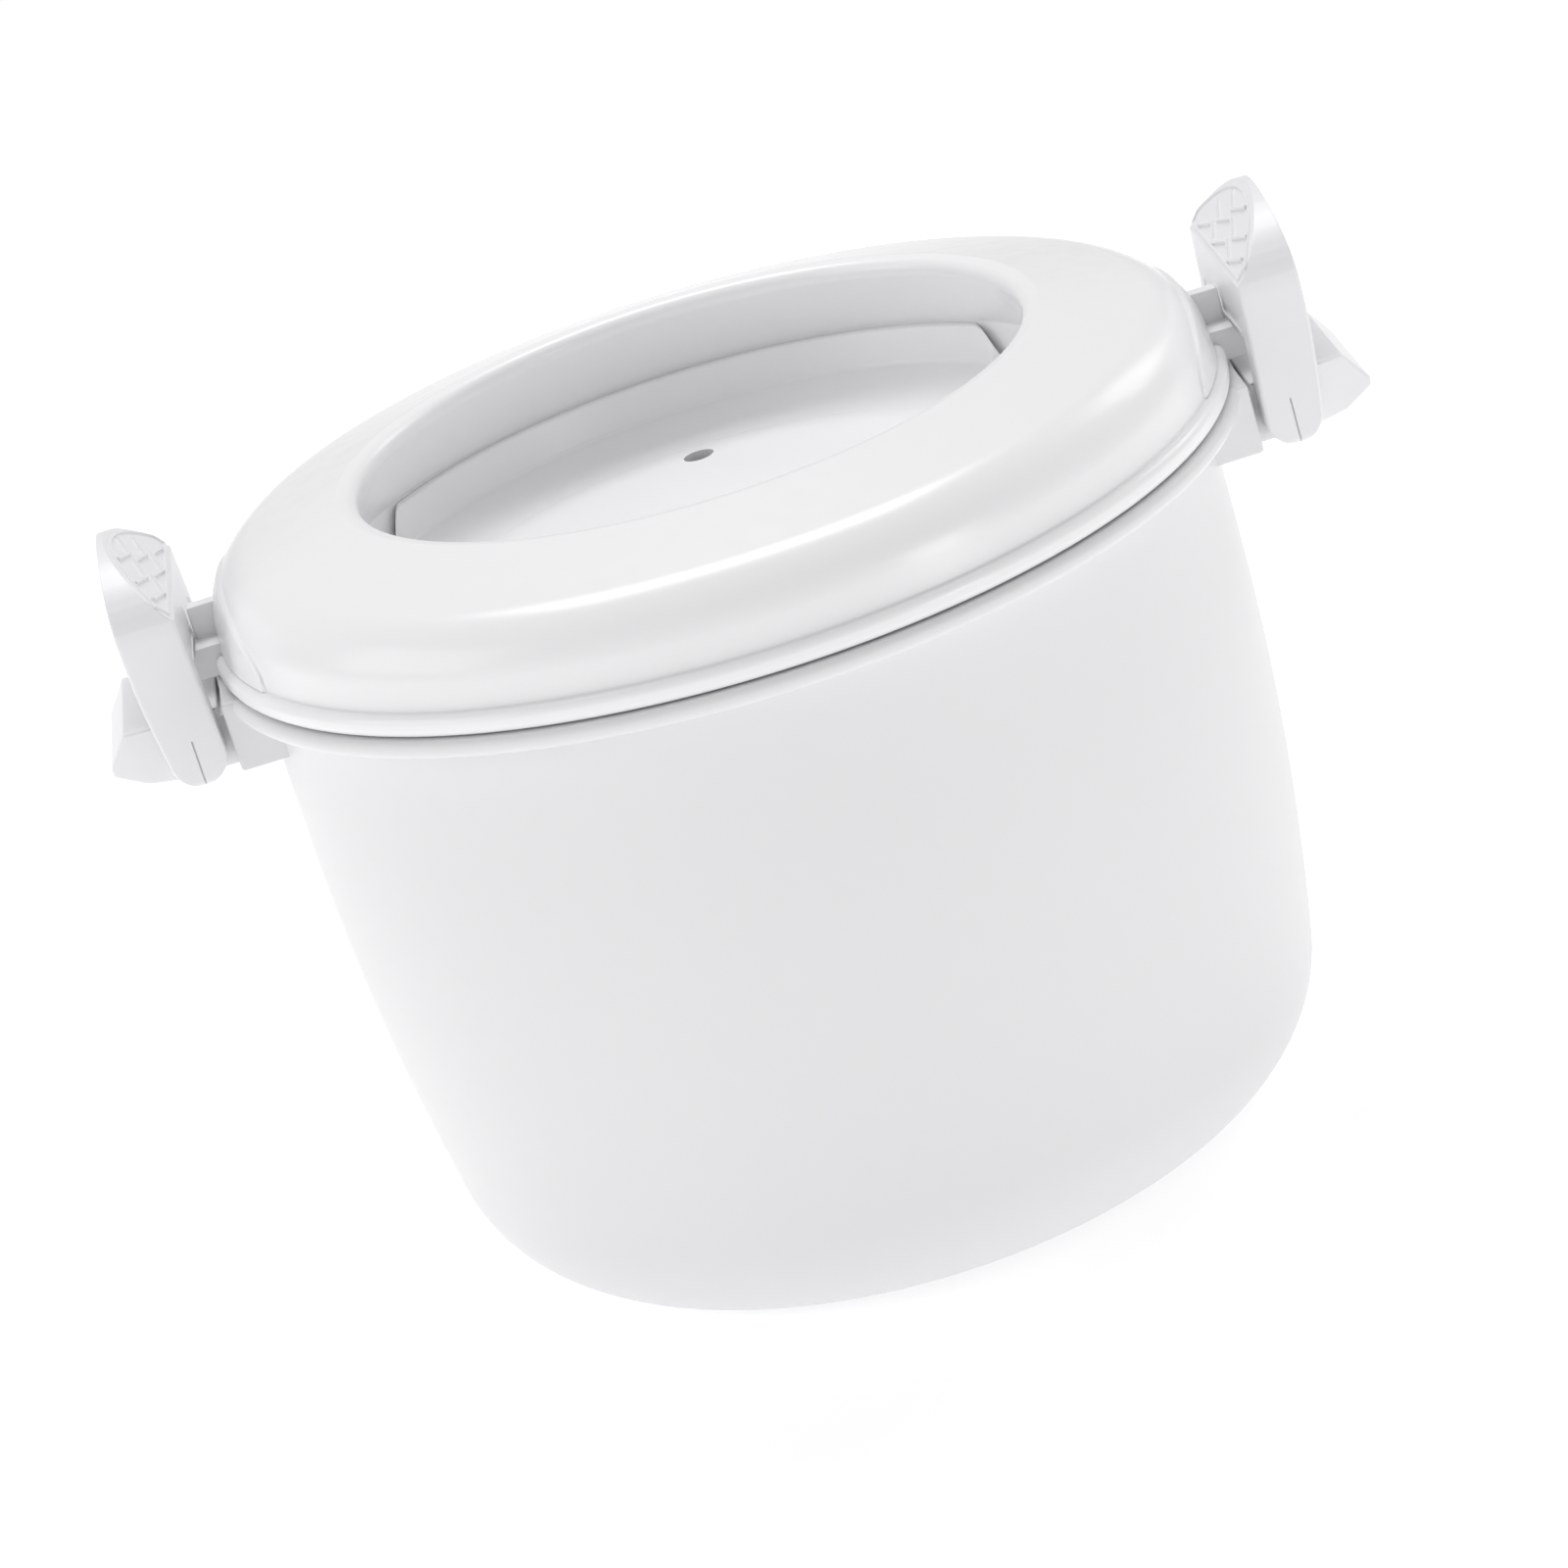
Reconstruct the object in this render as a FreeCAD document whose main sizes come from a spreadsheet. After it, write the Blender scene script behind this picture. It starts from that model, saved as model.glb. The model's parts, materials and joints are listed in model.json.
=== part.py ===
import FreeCAD, Part
import math
import os
import re
import Sketcher

"""Lidded two-latch microwave pot, as used for making yogurt at home.

Millimetres, +Z up.  The origin is the centre of the flat base, +X runs through
the right handle, and the two handles and latches are mirror images across X = 0.
Sizes are distances from the Z axis or the XZ plane, or heights above or depths
below the pot's rim, unless their comment says otherwise.
"""

SIZES = {
    # Pot: a bowl with a bowed side, a broad base rounding and a flat rim flange.
    "pot_height": 118.5,
    "body_radius": 81.9,
    "bow_radius": 440.0,
    "straight_drop": 28.5,
    "base_round": 23.5,
    "pot_wall": 2.8,
    "floor_thick": 3.2,
    "rim_reach": 6.1,
    "rim_thick": 3.0,
    "rim_round": 1.3,
    "ledge_width": 1.7,
    "ledge_depth": 3.0,
    # Bracket under the rim, which holds a handle's tenon.
    "bracket_reach": 5.6,
    "bracket_side": 5.0,
    "bracket_bottom": 12.1,
    "tab_root": 0.1,
    "socket_back": 1.7,
    "tenon_inset": 2.0,
    "socket_margin": 1.4,
    # Handle: an arm between the latch's cheeks that ends in a tapered wing.
    "arm_half": 15.0,
    "arm_top": 1.5,
    "arm_gap": 0.4,
    "wing_reach": 14.5,
    "wing_taper": 3.7,
    "wing_tip_low": 7.2,
    "wing_nose": 0.9,
    "wing_belly_radius": 24.0,
    # Hinge pin and latch.
    "pivot_drop": 7.3,
    "pin_radius": 2.0,
    "pin_cover": 1.6,
    "pin_play": 0.05,
    "knuckle_radius": 4.8,
    "knuckle_gap": 1.3,
    "cheek_thick": 5.5,
    "cheek_play": 0.5,
    "roof_gap": 1.2,
    "latch_top": 26.9,
    "top_lean": 6.0,
    "top_flat": 1.2,
    "outer_face_radius": 150.0,
    "pad_foot": 16.3,
    "face_lean": 1.1,
    "arch_rise": 8.0,
    "slit_wide": 0.4,
    "slit_tall": 9.0,
    # Catch: the keeper's sloped nose under the latch's sloped lip.
    "keeper_half": 6.8,
    "keeper_low": 0.6,
    "keeper_top": 6.1,
    "nose_reach": 2.6,
    "nose_run": 2.0,
    "nose_drop": 3.5,
    "lip_gap": 0.45,
    "lip_reach": 1.6,
    "rib_half": 1.5,
    "rib_top": 11.7,
    "rib_reach": 0.3,
    "root_inset": 0.5,
    # Outer lid: a low dome with a wide opening, whose skirt flares down inside and
    # ends in a straight hem round the inner lid's raised rim.
    "seam_gap": 0.3,
    "bead_reach": 5.3,
    "bead_top": 4.0,
    "lid_side_reach": 3.3,
    "shoulder_reach": 2.1,
    "shoulder_top": 15.6,
    "shoulder_round": 10.0,
    "crown_width": 4.4,
    "crown_top": 21.1,
    "opening_inset": 26.3,
    "opening_top": 20.5,
    "opening_round": 2.0,
    "skirt_flare": 9.4,
    "skirt_gap": 0.4,
    "skirt_play": 0.3,
    "hem_gap": 1.3,
    "skirt_thick": 2.9,
    "lid_wall": 2.4,
    "spigot_depth": 1.0,
    "spigot_play": 0.3,
    "spigot_root": 3.0,
    # Inner lid: a dished plate with a raised rim, resting on the pot's ledge.
    "annulus_width": 12.6,
    "dish_depth": 3.2,
    "dish_thick": 2.0,
    "raised_lean": 1.4,
    "raised_top": 6.2,
    "raised_thick": 1.3,
    "flange_thick": 1.5,
    "flange_play": 0.3,
    "rest_gap": 0.2,
    "notch_depth": 9.8,
    "vent_radius": 2.7,
    "vent_inset": 6.1,
}

# Sizes that follow others, so that what fits together stays together.
TIED = {
    "rim_radius": "body_radius + rim_reach",
    "bow_start": "pot_height - straight_drop",
    "bracket_face": "body_radius + bracket_reach",
    "bracket_half": "arm_half + bracket_side",
    "socket_floor": "body_radius + socket_back",
    "socket_half": "arm_half - tenon_inset",
    "arm_step": "rim_radius + arm_gap",
    "foot_in": "bracket_face + knuckle_gap",
    "pivot_out": "foot_in + knuckle_radius",
    "wing_tip": "pivot_out + wing_reach",
    "wing_flat_end": "wing_tip - wing_taper",
    "latch_half": "arm_half + cheek_play + cheek_thick",
    "pin_half": "latch_half - pin_cover",
    "roof_height": "wing_reach + roof_gap",
    "latch_top_out": "pivot_out + top_lean",
    "pad_foot_out": "foot_in + face_lean",
    "tab_in": "body_radius + tab_root",
    "nose_tip": "foot_in + nose_reach",
    "nose_back": "nose_tip - nose_run",
    "rib_end": "foot_in + rib_reach",
    "bead_radius": "body_radius + bead_reach",
    "lid_side_radius": "body_radius + lid_side_reach",
    "shoulder_radius": "body_radius + shoulder_reach",
    "opening_radius": "body_radius - opening_inset",
    "crown_radius": "opening_radius + crown_width",
    "skirt_radius": "opening_radius + skirt_flare",
    "flare_bottom": "raised_top + skirt_gap",
    "hem_bottom": "rest_gap + flange_thick - ledge_depth + hem_gap",
    "raised_radius": "skirt_radius - skirt_play - raised_thick",
    "step_radius": "raised_radius - raised_lean",
    "dish_radius": "step_radius - annulus_width",
    "notch_out": "raised_radius - notch_depth",
    "vent_centre": "dish_radius - vent_inset",
}

doc = FreeCAD.newDocument("LatchedPot")
sheet = doc.addObject("Spreadsheet::Sheet", "Sizes")
formulas = {alias: "=" + formula for alias, formula in TIED.items()}
for row, (alias, value) in enumerate({**SIZES, **formulas}.items(), start=1):
    sheet.set(f"A{row}", alias)
    sheet.set(f"B{row}", str(value))
    sheet.setAlias(f"B{row}", alias)
doc.recompute()


def bound(text):
    """An expression on the sheet's aliases, such as "rim_radius - pot_wall"."""
    return re.sub(r"\b([a-z]+_[a-z_]+)\b", r"Sizes.\1", text)


def number(text):
    """The present value of an expression on the sheet's aliases."""
    return float(sheet.evalExpression(bound(text)))


def plane(body, role):
    """One of the body's own origin planes."""
    return next(item for item in body.Origin.OriginFeatures if item.Role == role)


def arc_between(start, end, radius, side):
    """The short arc from start to end; side is +1 where it bulges to the right.

    Sketch arcs always run anticlockwise, so one that bulges to the left is drawn
    from end to start.
    """
    chord = end - start
    reach = chord.Length / 2
    across = FreeCAD.Vector(chord.y, -chord.x, 0).normalize() * side
    centre = (start + end) / 2 - across * math.sqrt(max(radius**2 - reach**2, 0.0))
    first, last = (start, end) if side > 0 else (end, start)
    angles = [math.atan2(point.y - centre.y, point.x - centre.x) for point in (first, last)]
    if angles[1] < angles[0]:
        angles[1] += 2 * math.pi
    return Part.ArcOfCircle(Part.Circle(centre, FreeCAD.Vector(0, 0, 1), radius), *angles)


def outline(body, name, role, points, arcs=None):
    """A closed sketch whose corners are bound to the sheet.

    Each point is a pair of expressions.  arcs gives, for the number of the point
    that a curved side starts from, its radius expression and the side it bulges to.
    """
    arcs = arcs or {}
    sketch = body.newObject("Sketcher::SketchObject", name)
    sketch.AttachmentSupport = [(plane(body, role), "")]
    sketch.MapMode = "FlatFace"
    corners = [FreeCAD.Vector(number(across), number(up), 0) for across, up in points]
    ends = []
    for index, start in enumerate(corners):
        end = corners[(index + 1) % len(corners)]
        if index in arcs:
            radius, side = arcs[index]
            sketch.addGeometry(arc_between(start, end, number(radius), side), False)
            ends.append((1, 2) if side > 0 else (2, 1))
            held = sketch.addConstraint(Sketcher.Constraint("Radius", index, number(radius)))
            sketch.setExpression(f"Constraints[{held}]", bound(radius))
        else:
            sketch.addGeometry(Part.LineSegment(start, end), False)
            ends.append((1, 2))
    for index in range(len(corners)):
        before = (index - 1) % len(corners)
        join = Sketcher.Constraint("Coincident", before, ends[before][1], index, ends[index][0])
        sketch.addConstraint(join)
        for kind, axis, text in zip(("DistanceX", "DistanceY"), (-2, -1), points[index]):
            where = (index, ends[index][0])
            if text == "0":
                sketch.addConstraint(Sketcher.Constraint("PointOnObject", *where, axis))
                continue
            held = sketch.addConstraint(Sketcher.Constraint(kind, -1, 1, *where, number(text)))
            sketch.setExpression(f"Constraints[{held}]", bound(text))
    return sketch


def turned(body, name, points, arcs=None):
    """A solid of revolution about Z from an outline in the XZ plane."""
    feature = body.newObject("PartDesign::Revolution", name)
    feature.Profile = outline(body, name + "Outline", "XZ_Plane", points, arcs)
    feature.ReferenceAxis = (feature.Profile[0], ["V_Axis"])
    feature.Angle = 360
    return feature


def padded(body, name, points, half, arcs=None, role="XZ_Plane"):
    """A pad of an outline, the same distance to both sides of its plane."""
    feature = body.newObject("PartDesign::Pad", name)
    feature.Profile = outline(body, name + "Outline", role, points, arcs)
    feature.SideType = "Symmetric"
    feature.setExpression("Length", bound(f"2 * ({half})"))
    return feature


def pocketed(body, name, points, half, arcs=None, role="XZ_Plane"):
    """A pocket of an outline, the same distance to both sides of its plane."""
    feature = body.newObject("PartDesign::Pocket", name)
    feature.Profile = outline(body, name + "Outline", role, points, arcs)
    feature.SideType = "Symmetric"
    feature.setExpression("Length", bound(f"2 * ({half})"))
    return feature


def bored(body, name, across, up, radius, half):
    """A round hole along Y, the same distance to both sides of the XZ plane."""
    sketch = body.newObject("Sketcher::SketchObject", name + "Circle")
    sketch.AttachmentSupport = [(plane(body, "XZ_Plane"), "")]
    sketch.MapMode = "FlatFace"
    centre = FreeCAD.Vector(number(across), number(up), 0)
    circle = Part.Circle(centre, FreeCAD.Vector(0, 0, 1), number(radius))
    sketch.addGeometry(circle, False)
    for kind, text in (("DistanceX", across), ("DistanceY", up)):
        held = sketch.addConstraint(Sketcher.Constraint(kind, -1, 1, 0, 3, number(text)))
        sketch.setExpression(f"Constraints[{held}]", bound(text))
    held = sketch.addConstraint(Sketcher.Constraint("Radius", 0, number(radius)))
    sketch.setExpression(f"Constraints[{held}]", bound(radius))
    feature = body.newObject("PartDesign::Pocket", name)
    feature.Profile = sketch
    feature.SideType = "Symmetric"
    feature.setExpression("Length", bound(f"2 * ({half})"))
    return feature


def mirrored(body, name, features):
    """The given features again on the other side of the YZ plane."""
    feature = body.newObject("PartDesign::Mirrored", name)
    feature.Originals = features
    feature.MirrorPlane = (plane(body, "YZ_Plane"), [""])
    body.Tip = feature
    return feature


def filleted(body, name, base, radius, wanted):
    """A fillet on the edges of base for which wanted(edge) is true."""
    doc.recompute()
    edges = [f"Edge{i}" for i, edge in enumerate(base.Shape.Edges, start=1) if wanted(edge)]
    feature = body.newObject("PartDesign::Fillet", name)
    feature.Base = (base, edges)
    feature.setExpression("Radius", bound(radius))
    return feature


def hoop(radius, height):
    """A test for a full circle about Z with this radius and height."""
    size = number(radius)
    level = number(height)

    def wanted(edge):
        curve = edge.Curve
        if not isinstance(curve, Part.Circle):
            return False
        middle = curve.Center
        return (
            abs(curve.Radius - size) < 0.01
            and abs(middle.z - level) < 0.01
            and abs(middle.x) < 0.01
            and abs(middle.y) < 0.01
        )

    return wanted


def either(*tests):
    """A test that is true where any of the given tests is."""
    return lambda edge: any(test(edge) for test in tests)


def make_pot():
    """Bowl, rim flange with an inner ledge, and two brackets topped by square rim tabs."""
    body = doc.addObject("PartDesign::Body", "Pot")
    body.Label = "pot"
    base_corner = "body_radius - bow_radius + sqrt(bow_radius^2 - bow_start^2)"
    inner_bow = "bow_radius - pot_wall"
    inner_corner = f"body_radius - bow_radius + sqrt(({inner_bow})^2 - (bow_start - floor_thick)^2)"
    inner_radius = "body_radius - pot_wall"
    mouth = "body_radius - pot_wall + ledge_width"
    under_rim = "pot_height - rim_thick"
    ledge = "pot_height - ledge_depth"
    bowl = turned(
        body,
        "Bowl",
        [
            ("0", "0"),
            (base_corner, "0"),
            ("body_radius", "bow_start"),
            ("body_radius", under_rim),
            ("rim_radius", under_rim),
            ("rim_radius", "pot_height"),
            (mouth, "pot_height"),
            (mouth, ledge),
            (inner_radius, ledge),
            (inner_radius, "bow_start"),
            (inner_corner, "floor_thick"),
            ("0", "floor_thick"),
        ],
        {1: ("bow_radius", 1), 9: (inner_bow, -1)},
    )
    base = filleted(body, "BaseRound", bowl, "base_round", hoop(base_corner, "0"))
    well = filleted(
        body, "WellRound", base, "base_round - pot_wall", hoop(inner_corner, "floor_thick")
    )
    rim_edges = either(hoop("rim_radius", under_rim), hoop("rim_radius", "pot_height"))
    filleted(body, "RimRound", well, "rim_round", rim_edges)
    inside_wall = "sqrt(body_radius^2 - bracket_half^2) - root_inset"
    bracket = padded(
        body,
        "Bracket",
        [
            (inside_wall, "pot_height - bracket_bottom"),
            ("bracket_face", "pot_height - bracket_bottom"),
            ("bracket_face", "pot_height"),
            ("tab_in", "pot_height"),
            ("tab_in", "pot_height - rim_thick"),
            (inside_wall, "pot_height - rim_thick"),
        ],
        "bracket_half",
    )
    socket = pocketed(
        body,
        "Socket",
        [
            ("socket_floor", "pot_height - bracket_bottom + socket_margin"),
            ("bracket_face + 1", "pot_height - bracket_bottom + socket_margin"),
            ("bracket_face + 1", "pot_height - rim_thick - socket_margin"),
            ("socket_floor", "pot_height - rim_thick - socket_margin"),
        ],
        "socket_half",
    )
    mirrored(body, "OtherBracket", [bracket, socket])
    # The brackets' inner ends are trimmed flush with the bowl's cylindrical wall.
    bowl_bore = body.newObject("PartDesign::Groove", "BowlBore")
    bowl_bore.Profile = outline(
        body,
        "BowlBoreOutline",
        "XZ_Plane",
        [
            ("0", "bow_start"),
            (inner_radius, "bow_start"),
            (inner_radius, ledge),
            ("0", ledge),
        ],
    )
    bowl_bore.ReferenceAxis = (bowl_bore.Profile[0], ["V_Axis"])
    bowl_bore.Angle = 360
    body.Tip = bowl_bore
    return body


def make_outer_lid():
    """Dome with a rolled foot bead, a central opening, a skirt and two keepers."""
    body = doc.addObject("PartDesign::Body", "OuterLid")
    body.Label = "outer_lid"
    mouth = "body_radius - pot_wall + ledge_width"
    spigot_out = f"{mouth} - spigot_play"
    spigot_in = "body_radius - pot_wall"
    foot = "pot_height + seam_gap"
    flare_low = "pot_height + flare_bottom"
    hem_low = "pot_height + hem_bottom"
    dome = turned(
        body,
        "Dome",
        [
            (spigot_out, foot),
            ("bead_radius", foot),
            ("bead_radius", "pot_height + bead_top"),
            ("lid_side_radius", "pot_height + bead_top"),
            ("shoulder_radius", "pot_height + shoulder_top"),
            ("crown_radius", "pot_height + crown_top"),
            ("opening_radius", "pot_height + opening_top"),
            ("skirt_radius", flare_low),
            ("skirt_radius", hem_low),
            ("skirt_radius + skirt_thick", hem_low),
            ("skirt_radius + skirt_thick", flare_low),
            ("opening_radius + skirt_thick", "pot_height + opening_top - lid_wall"),
            ("shoulder_radius - lid_wall", "pot_height + shoulder_top - lid_wall"),
            (spigot_in, "pot_height + spigot_root"),
            (spigot_in, "pot_height - spigot_depth"),
            (spigot_out, "pot_height - spigot_depth"),
        ],
    )
    shoulder = filleted(
        body,
        "ShoulderRound",
        dome,
        "shoulder_round",
        hoop("shoulder_radius", "pot_height + shoulder_top"),
    )
    inner_shoulder = filleted(
        body,
        "InnerShoulderRound",
        shoulder,
        "shoulder_round - lid_wall",
        hoop("shoulder_radius - lid_wall", "pot_height + shoulder_top - lid_wall"),
    )
    lip = filleted(
        body,
        "OpeningRound",
        inner_shoulder,
        "opening_round",
        hoop("opening_radius", "pot_height + opening_top"),
    )
    bead_edges = either(
        hoop("bead_radius", foot),
        hoop("bead_radius", "pot_height + bead_top"),
    )
    filleted(body, "BeadRound", lip, "rim_round", bead_edges)
    in_side = "lid_side_radius - lid_wall + root_inset"
    keeper = padded(
        body,
        "Keeper",
        [
            (in_side, "pot_height + keeper_low"),
            ("nose_tip", "pot_height + keeper_low"),
            ("nose_tip", "pot_height + keeper_top - nose_drop"),
            ("nose_back", "pot_height + keeper_top"),
            (in_side, "pot_height + keeper_top"),
        ],
        "keeper_half",
    )
    rib_root = "shoulder_radius - lid_wall + root_inset"
    rib = padded(
        body,
        "KeeperRib",
        [
            (in_side, "pot_height + keeper_top - root_inset"),
            ("rib_end", "pot_height + keeper_top - root_inset"),
            ("rib_end", "pot_height + rib_top"),
            (rib_root, "pot_height + rib_top"),
        ],
        "rib_half",
    )
    mirrored(body, "OtherKeeper", [keeper, rib])
    return body


def make_inner_lid():
    """Dished plate with a raised rim, finger notches at both ends and two vents."""
    body = doc.addObject("PartDesign::Body", "InnerLid")
    body.Label = "inner_lid"
    flange_out = "body_radius - pot_wall + ledge_width - flange_play"
    flange_low = "pot_height - ledge_depth + rest_gap"
    flange_top = "pot_height - ledge_depth + rest_gap + flange_thick"
    plate = turned(
        body,
        "Plate",
        [
            ("0", "pot_height - dish_depth - dish_thick"),
            ("dish_radius + dish_thick", "pot_height - dish_depth - dish_thick"),
            ("step_radius", flange_low),
            (flange_out, flange_low),
            (flange_out, flange_top),
            ("raised_radius + raised_thick", flange_top),
            ("raised_radius + raised_thick", "pot_height + raised_top"),
            ("raised_radius", "pot_height + raised_top"),
            ("step_radius", "pot_height"),
            ("dish_radius", "pot_height - dish_depth"),
            ("0", "pot_height - dish_depth"),
        ],
    )
    notch = pocketed(
        body,
        "Notch",
        [
            ("notch_out", "pot_height + rest_gap"),
            ("raised_radius + raised_thick + 2", "pot_height + rest_gap"),
            ("raised_radius + raised_thick + 2", "pot_height + raised_top + 2"),
            ("notch_out", "pot_height + raised_top + 2"),
        ],
        "raised_radius",
    )
    mirrored(body, "OtherNotch", [notch])
    for name, side in (("FrontVent", "0 - "), ("RearVent", "")):
        sketch = body.newObject("Sketcher::SketchObject", name + "Circle")
        sketch.AttachmentSupport = [(plane(body, "XY_Plane"), "")]
        sketch.MapMode = "FlatFace"
        where = number(f"{side}vent_centre")
        circle = Part.Circle(
            FreeCAD.Vector(0, where, 0), FreeCAD.Vector(0, 0, 1), number("vent_radius")
        )
        sketch.addGeometry(circle, False)
        sketch.addConstraint(Sketcher.Constraint("PointOnObject", 0, 3, -2))
        held = sketch.addConstraint(Sketcher.Constraint("DistanceY", -1, 1, 0, 3, where))
        sketch.setExpression(f"Constraints[{held}]", bound(f"{side}vent_centre"))
        held = sketch.addConstraint(Sketcher.Constraint("Radius", 0, number("vent_radius")))
        sketch.setExpression(f"Constraints[{held}]", bound("vent_radius"))
        vent = body.newObject("PartDesign::Pocket", name)
        vent.Profile = sketch
        vent.SideType = "Symmetric"
        vent.setExpression("Length", bound("2 * (pot_height + raised_top)"))
    return body


def make_handle():
    """Right handle: tenon, arm with the pin bore, and the tapered wing."""
    body = doc.addObject("PartDesign::Body", "HandleRight")
    body.Label = "handle_right"
    low = "pot_height - bracket_bottom"
    padded(
        body,
        "Arm",
        [
            ("bracket_face", low),
            ("pivot_out + knuckle_radius", low),
            ("wing_tip - wing_nose / 3", "pot_height - wing_tip_low - wing_nose"),
            ("wing_tip", "pot_height - wing_tip_low + wing_nose / 2"),
            ("wing_flat_end", "pot_height - arm_top"),
            ("arm_step", "pot_height - arm_top"),
            ("arm_step", "pot_height - rim_thick - rest_gap"),
            ("bracket_face", "pot_height - rim_thick - rest_gap"),
        ],
        "arm_half",
        {1: ("wing_belly_radius", 1)},
    )
    padded(
        body,
        "Tenon",
        [
            ("socket_floor", f"{low} + socket_margin"),
            ("bracket_face + 1", f"{low} + socket_margin"),
            ("bracket_face + 1", "pot_height - rim_thick - socket_margin"),
            ("socket_floor", "pot_height - rim_thick - socket_margin"),
        ],
        "socket_half",
    )
    bored(
        body,
        "PinBore",
        "pivot_out",
        "pot_height - pivot_drop",
        "pin_radius",
        "arm_half + 1",
    )
    return body


def make_latch():
    """Right latch: two hinge cheeks, a roof with the hook lip, and the thumb pad."""
    body = doc.addObject("PartDesign::Body", "LatchRight")
    body.Label = "latch_right"
    pivot = "pot_height - pivot_drop"
    foot_out = "pivot_out + knuckle_radius"
    below = f"{pivot} - knuckle_radius - 1"
    roof = f"{pivot} + roof_height"
    lever = padded(
        body,
        "Lever",
        [
            ("foot_in", pivot),
            ("pivot_out", f"{pivot} - knuckle_radius"),
            (foot_out, pivot),
            ("latch_top_out", "pot_height + latch_top"),
            ("latch_top_out - top_flat", "pot_height + latch_top"),
            ("pad_foot_out", "pot_height + pad_foot"),
        ],
        "latch_half",
        {
            0: ("knuckle_radius", 1),
            1: ("knuckle_radius", 1),
            2: ("outer_face_radius", 1),
        },
    )
    # The lip hangs over the keeper's nose, parallel to its slope.
    slope = "nose_drop / (nose_tip - nose_back)"
    lip_root = f"pot_height + keeper_top + lip_gap * (1 + {slope})"
    pocketed(
        body,
        "Fork",
        [
            ("nose_back - 4", below),
            ("latch_top_out + 4", below),
            ("latch_top_out + 4", roof),
            ("nose_back + lip_reach + lip_gap * 3", roof),
            ("nose_back + lip_reach", f"{lip_root} - lip_reach * {slope}"),
            ("nose_back", lip_root),
            ("nose_back - 4", lip_root),
        ],
        "arm_half + cheek_play",
    )
    pocketed(
        body,
        "Arch",
        [
            ("-latch_half - 1", "pot_height + latch_top - arch_rise"),
            ("-latch_half", "pot_height + latch_top - arch_rise"),
            ("latch_half", "pot_height + latch_top - arch_rise"),
            ("latch_half + 1", "pot_height + latch_top - arch_rise"),
            ("latch_half + 1", "pot_height + latch_top + 4"),
            ("-latch_half - 1", "pot_height + latch_top + 4"),
        ],
        "latch_top_out + 10",
        {1: ("(latch_half^2 + arch_rise^2) / (2 * arch_rise)", -1)},
        role="YZ_Plane",
    )
    bored(
        body,
        "PinBore",
        "pivot_out",
        pivot,
        "pin_radius + pin_play",
        "pin_half + pin_play * 2",
    )
    pocketed(
        body,
        "Slit",
        [
            ("pivot_out - slit_wide / 2", below),
            ("pivot_out + slit_wide / 2", below),
            ("pivot_out + slit_wide / 2", f"{pivot} - knuckle_radius + slit_tall"),
            ("pivot_out - slit_wide / 2", f"{pivot} - knuckle_radius + slit_tall"),
        ],
        "latch_half + 1",
    )
    return body


def make_pin():
    """Right hinge pin, a plain rod along Y inside the arm and both cheeks."""
    pin = doc.addObject("Part::Cylinder", "PinRight")
    pin.Label = "hinge_pin_right"
    pin.setExpression("Radius", bound("pin_radius"))
    pin.setExpression("Height", bound("2 * pin_half"))
    pin.Placement.Rotation = FreeCAD.Rotation(FreeCAD.Vector(1, 0, 0), -90)
    pin.setExpression("Placement.Base.x", bound("pivot_out"))
    pin.setExpression("Placement.Base.y", bound("0 - pin_half"))
    pin.setExpression("Placement.Base.z", bound("pot_height - pivot_drop"))
    return pin


def make_left(right, label):
    """The mirror image of a right-hand piece on the left side."""
    left = doc.addObject("Part::Mirroring", right.Name + "Mirror")
    left.Label = label
    left.Source = right
    left.Base = FreeCAD.Vector(0, 0, 0)
    left.Normal = FreeCAD.Vector(1, 0, 0)
    return left


pot = make_pot()
outer_lid = make_outer_lid()
inner_lid = make_inner_lid()
handle_right = make_handle()
latch_right = make_latch()
pin_right = make_pin()
handle_left = make_left(handle_right, "handle_left")
latch_left = make_left(latch_right, "latch_left")
pin_left = make_left(pin_right, "hinge_pin_left")
pieces = [
    pot,
    outer_lid,
    inner_lid,
    handle_right,
    handle_left,
    latch_right,
    latch_left,
    pin_right,
    pin_left,
]

doc.recompute()

for item in doc.Objects:
    if "Invalid" in item.State or "Error" in item.State:
        raise RuntimeError(f"{item.Name} did not build: {item.State}")
for piece in pieces:
    if piece.Shape.isNull() or not piece.Shape.isValid():
        raise RuntimeError(f"{piece.Label} has no valid shape")
    if len(piece.Shape.Solids) != 1:
        raise RuntimeError(f"{piece.Label} is {len(piece.Shape.Solids)} solids, not one")

os.makedirs("parts", exist_ok=True)
for piece in pieces:
    piece.Shape.exportStep(f"parts/{piece.Label}.step")
    size = piece.Shape.BoundBox
    print(f"{piece.Label}: {size.XLength:.1f} x {size.YLength:.1f} x {size.ZLength:.1f}")
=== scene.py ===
import json
import math

import bmesh
import bpy
from mathutils import Matrix, Vector


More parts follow.
